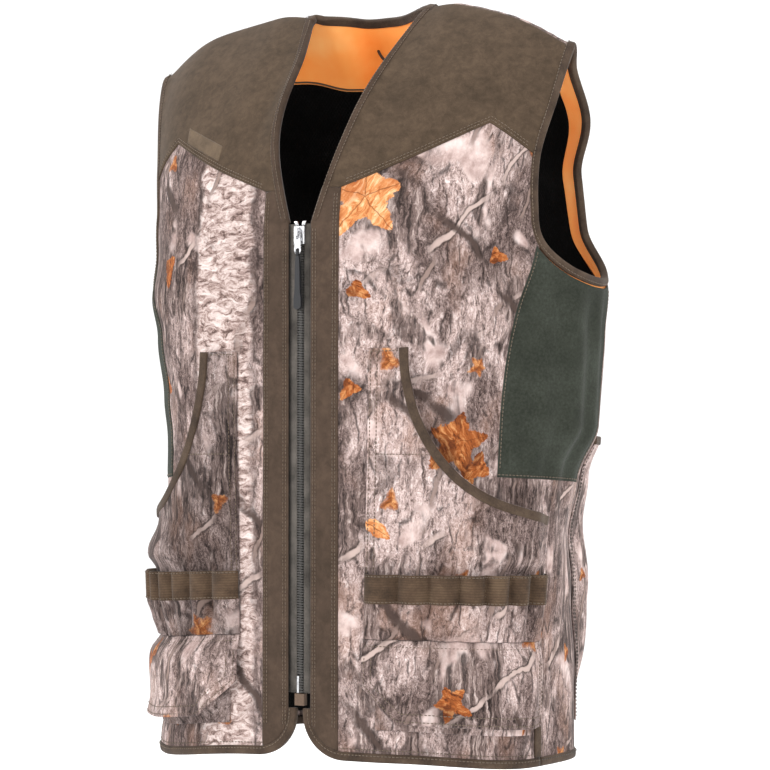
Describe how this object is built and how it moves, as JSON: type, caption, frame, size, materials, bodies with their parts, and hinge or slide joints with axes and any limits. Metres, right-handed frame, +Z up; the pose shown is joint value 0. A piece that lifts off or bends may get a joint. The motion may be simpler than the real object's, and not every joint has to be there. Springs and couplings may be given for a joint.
{
  "type": "hunting vest",
  "caption": "Sleeveless hunting vest in bark and leaf camouflage with blaze orange facings, a full front zip, hand pockets, cartridge loops, flap pockets and a rear game pouch.",
  "frame": {"origin": "middle of the shoulder ridge, halfway between the two sides of the neck opening, where a hanger or shoulders hold the vest", "axes": "+Z up, front of the vest towards -Y, wearer's left towards +X"},
  "size_m": [0.4576, 0.2823, 0.73],
  "materials": {
    "camouflage_cloth": "matt printed brushed polyester with a bark and leaf pattern",
    "lining_mesh": "black open mesh",
    "blaze_orange_facing": "smooth blaze orange woven facing",
    "suede": "napped brown suede-like cloth",
    "fleece": "dark olive brushed fleece",
    "binding": "brown ribbed bias binding and elastic",
    "label_cloth": "plain woven label",
    "tab_cloth": "plain tab, stitched flat",
    "zip_tape": "woven grey-brown zip tape",
    "zip_teeth": "dark satin moulded teeth",
    "zip_metal": "bright silver metal",
    "zip_box_metal": "brown painted metal",
    "grip_rubber": "matt black moulded grip"
  },
  "bodies": {
    "root": {"back_panel": "camouflage_cloth", "back_lining": "lining_mesh", "neck_facing": "blaze_orange_facing", "neck_binding": "binding", "back_hem_binding": "binding", "game_pouch": "camouflage_cloth", "pouch_binding": "binding", "hanger_loop": "binding", "size_label": "label_cloth", "yoke_tab": "tab_cloth", "side_panel_left": "fleece", "shoulder_yoke_left": "suede", "neck_band_left": "suede", "armhole_facing_left": "blaze_orange_facing", "armhole_binding_left": "binding", "side_panel_right": "fleece", "shoulder_yoke_right": "suede", "neck_band_right": "suede", "armhole_facing_right": "blaze_orange_facing", "armhole_binding_right": "binding"},
    "front_left": {"front_panel_left": "camouflage_cloth", "front_lining_left": "lining_mesh", "placket_left": "suede", "front_hem_binding_left": "binding", "vent_binding_left": "binding", "zip_tape_left": "zip_tape", "zip_teeth_left": "zip_teeth", "zip_top_stop_left": "zip_metal", "hand_pocket_left": "camouflage_cloth", "pocket_binding_left": "binding", "cartridge_band_left": "binding", "cartridge_tubes_left": "camouflage_cloth", "pocket_bag_left": "camouflage_cloth", "zip_box": "zip_box_metal"},
    "front_right": {"front_panel_right": "camouflage_cloth", "front_lining_right": "lining_mesh", "placket_right": "suede", "front_hem_binding_right": "binding", "vent_binding_right": "binding", "zip_tape_right": "zip_tape", "zip_teeth_right": "zip_teeth", "zip_top_stop_right": "zip_metal", "hand_pocket_right": "camouflage_cloth", "pocket_binding_right": "binding", "cartridge_band_right": "binding", "cartridge_tubes_right": "camouflage_cloth", "pocket_bag_right": "camouflage_cloth", "zip_pin": "zip_metal"},
    "flap_left": {"pocket_flap_left": "camouflage_cloth"},
    "flap_right": {"pocket_flap_right": "camouflage_cloth"},
    "zip_slider": {"zip_slider": "zip_metal"},
    "zip_pull": {"zip_pull": "zip_metal"},
    "zip_grip": {"zip_grip": "grip_rubber"}
  },
  "joints": [
    {"name": "front_left_swing", "type": "hinge", "parent": "root", "child": "front_left", "pos_m": [0.21254, -0.04559, -0.59223], "axis": [0.0488, 0.0276, 0.9984], "range_deg": [0, 40]},
    {"name": "front_right_swing", "type": "hinge", "parent": "root", "child": "front_right", "pos_m": [-0.21254, -0.04559, -0.59223], "axis": [0.0488, -0.0276, -0.9984], "range_deg": [0, 40], "deforming": ["zip_tape_right", "zip_teeth_right"]},
    {"name": "flap_left_lift", "type": "hinge", "parent": "front_left", "child": "flap_left", "pos_m": [0.16035, -0.10765, -0.61316], "axis": [-0.8654, -0.5011, 0], "range_deg": [0, 75]},
    {"name": "flap_right_lift", "type": "hinge", "parent": "front_right", "child": "flap_right", "pos_m": [-0.16035, -0.10765, -0.61316], "axis": [-0.8654, 0.5011, 0], "range_deg": [0, 75]},
    {"name": "zip_travel", "type": "slide", "parent": "front_left", "child": "zip_slider", "axis": [0, 0, -1], "range_m": [0, 0.403]},
    {"name": "pull_swing", "type": "hinge", "parent": "zip_slider", "child": "zip_pull", "pos_m": [0, -0.1401, -0.23085], "axis": [-1, 0, 0], "range_deg": [0, 135]},
    {"name": "grip_swing", "type": "hinge", "parent": "zip_pull", "child": "zip_grip", "pos_m": [0, -0.1401, -0.25105], "axis": [-1, 0, 0], "range_deg": [0, 45]}
  ]
}
